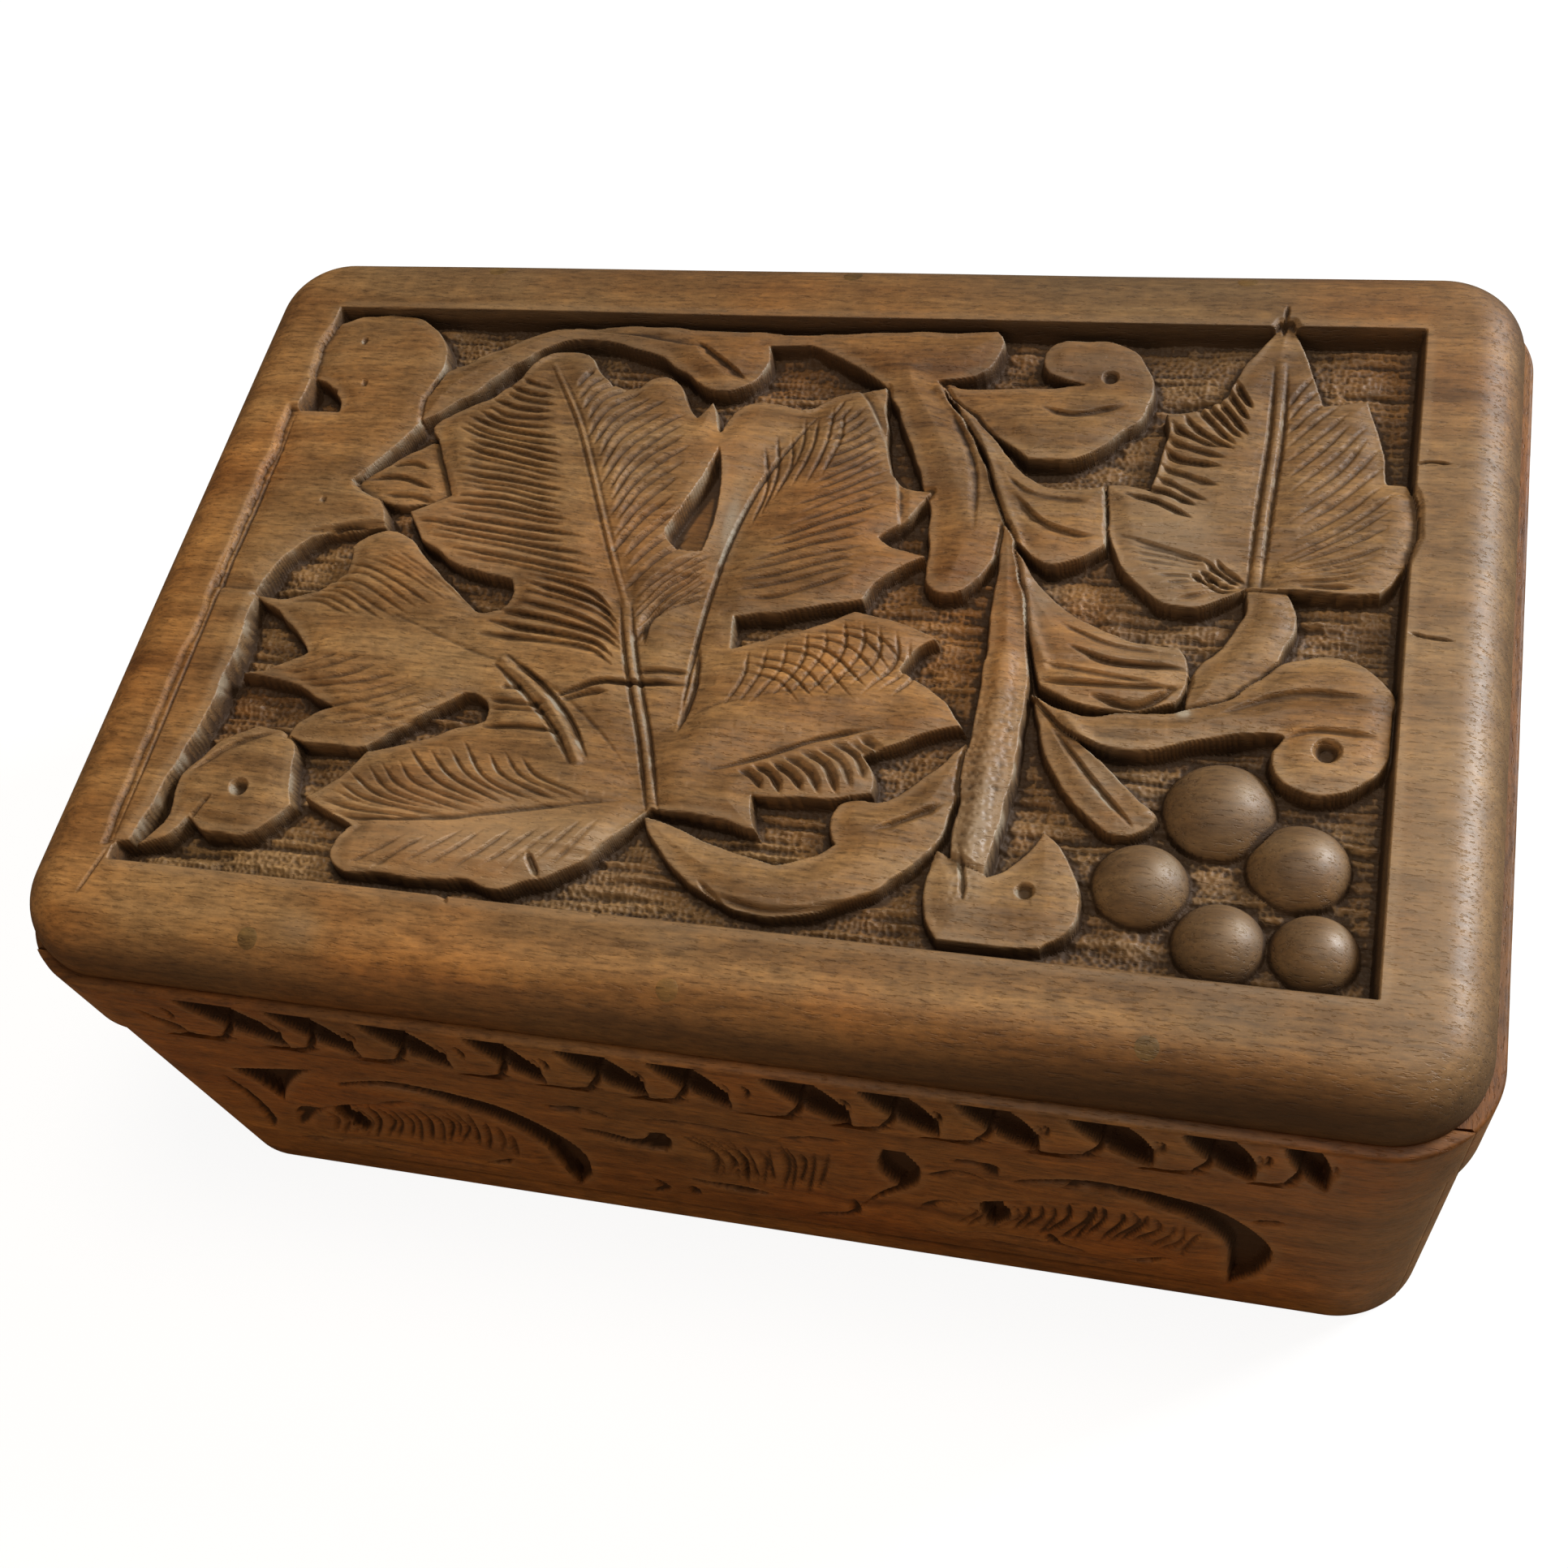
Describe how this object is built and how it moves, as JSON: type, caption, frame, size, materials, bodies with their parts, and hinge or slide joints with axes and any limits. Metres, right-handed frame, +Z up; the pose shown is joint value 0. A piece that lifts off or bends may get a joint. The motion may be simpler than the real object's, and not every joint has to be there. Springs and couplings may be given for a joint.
{
  "type": "carved wooden jewelry box",
  "caption": "Rounded wooden box with a hinged lid carved in sunk relief with vine leaves, scrolls and grapes, a rope edge and a leaf band.",
  "frame": {"origin": "middle of the underside, on the table", "axes": "+X along the front to the right, +Y from the front to the hinges, +Z up"},
  "size_m": [0.203, 0.1401, 0.08],
  "materials": {
    "walnut": "hand carved, oiled and worn",
    "peg_wood": "flush pegs, darkened",
    "velvet": "short pile velvet on card",
    "brass": "aged, dull",
    "steel": "drawn wire"
  },
  "bodies": {
    "base": {"base_front_wall": "walnut", "base_back_wall": "walnut", "base_left_wall": "walnut", "base_right_wall": "walnut", "base_bottom_board": "walnut", "base_bottom_nails": "steel", "base_floor_lining": "velvet", "base_front_lining": "velvet", "base_back_lining": "velvet", "base_left_lining": "velvet", "base_right_lining": "velvet", "left_hinge_base_leaf": "brass", "right_hinge_base_leaf": "brass", "left_hinge_pin": "steel", "right_hinge_pin": "steel", "base_hinge_screws": "brass"},
    "lid": {"lid_top_board": "walnut", "lid_front_rail": "walnut", "lid_back_rail": "walnut", "lid_left_rail": "walnut", "lid_right_rail": "walnut", "lid_top_pegs": "peg_wood", "lid_ceiling_lining": "velvet", "lid_front_lining": "velvet", "lid_back_lining": "velvet", "lid_left_lining": "velvet", "lid_right_lining": "velvet", "left_hinge_lid_leaf": "brass", "right_hinge_lid_leaf": "brass", "lid_hinge_screws": "brass"}
  },
  "joints": [
    {"name": "lid_hinge", "type": "hinge", "parent": "base", "child": "lid", "pos_m": [0, 0.06915, 0.055], "axis": [-1, 0, 0], "range_deg": [0, 180]}
  ]
}
